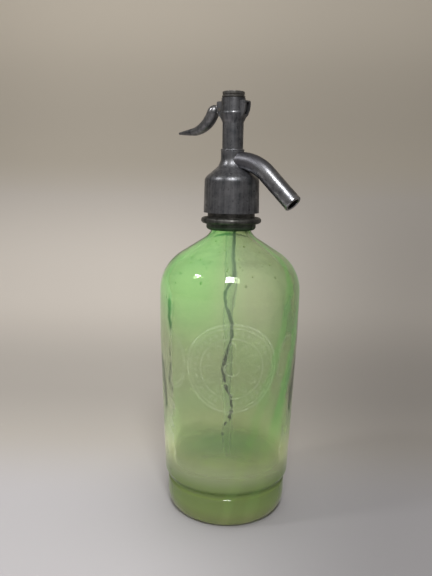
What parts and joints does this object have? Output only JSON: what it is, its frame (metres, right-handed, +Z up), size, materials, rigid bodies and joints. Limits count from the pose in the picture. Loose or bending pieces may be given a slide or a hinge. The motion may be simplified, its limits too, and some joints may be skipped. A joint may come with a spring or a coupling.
{
  "type": "soda siphon",
  "caption": "Glass soda siphon with a cast head, a hinged press lever that lifts a sprung valve rod, a dip tube and a bent spout.",
  "frame": {"origin": "centre of the foot's resting ring, on the table", "axes": "+Z up along the bottle's axis, +X towards the spout, -X towards the lever, hinge pin along Y"},
  "size_m": [0.108, 0.1044, 0.3126],
  "materials": {
    "green_glass": "hand-blown, pale green",
    "clear_glass": "drawn tube",
    "pewter": "cast pewter, dark with age",
    "ring_pewter": "cast pewter, dull",
    "spout_metal": "nickel-plated tube, worn at the end",
    "valve_brass": "turned",
    "spring_steel": "drawn wire",
    "pin_steel": "drawn rod",
    "seal_rubber": "moulded",
    "packing_leather": "pressed"
  },
  "bodies": {
    "root": {"glass_bottle": "green_glass", "neck_ring_front": "ring_pewter", "neck_ring_back": "ring_pewter", "neck_gasket": "seal_rubber", "head_body": "pewter", "spout": "spout_metal", "dip_tube": "clear_glass", "tube_grommet": "seal_rubber", "tube_nut": "valve_brass", "valve_seat": "valve_brass", "guide_bush": "valve_brass", "lever_pin": "pin_steel", "cap_washer": "seal_rubber", "top_cap": "pewter"},
    "lever": {"lever": "pewter"},
    "piston": {"piston_rod": "valve_brass", "valve_washer": "seal_rubber", "packing_washer": "packing_leather", "return_spring": "spring_steel"}
  },
  "joints": [
    {"name": "lever_press", "type": "hinge", "parent": "root", "child": "lever", "pos_m": [-0.0099, 0, 0.30033], "axis": [0, -1, 0], "range_deg": [0, 16], "stiffness_Nm_per_rad": 0.04, "springref_deg": -28.65},
    {"name": "piston_lift", "type": "slide", "parent": "root", "child": "piston", "axis": [0, 0, 1], "range_m": [0, 0.00276], "deforming": ["return_spring"]}
  ],
  "couplings": [
    {"joint": "lever_press", "follows": "piston_lift", "rad_per_m": 101.01}
  ]
}
